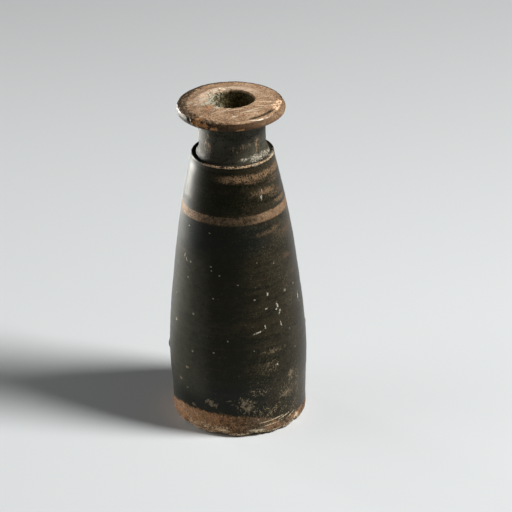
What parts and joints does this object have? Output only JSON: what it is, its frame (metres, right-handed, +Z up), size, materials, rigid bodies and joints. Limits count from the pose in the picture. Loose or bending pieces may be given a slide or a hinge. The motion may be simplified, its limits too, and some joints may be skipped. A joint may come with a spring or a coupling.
{
  "type": "alabastron",
  "caption": "Small tapering perfume vase of black-glossed clay: level underside, slim neck above a grooved shoulder, flat round mouth plate with a narrow hole.",
  "frame": {"origin": "centre of the level underside", "axes": "+Z up, +X to the right and -Y to the front as the picture shows it; the vase's own axis leans 1.3 degrees from +Z towards -X"},
  "size_m": [0.0439, 0.0434, 0.1073],
  "materials": {
    "black_gloss": "satin black to brown-black gloss over orange-brown clay, worn bare on the mouth plate, in one band and round the foot"
  },
  "bodies": {
    "root": {"vase": "black_gloss"}
  },
  "joints": []
}
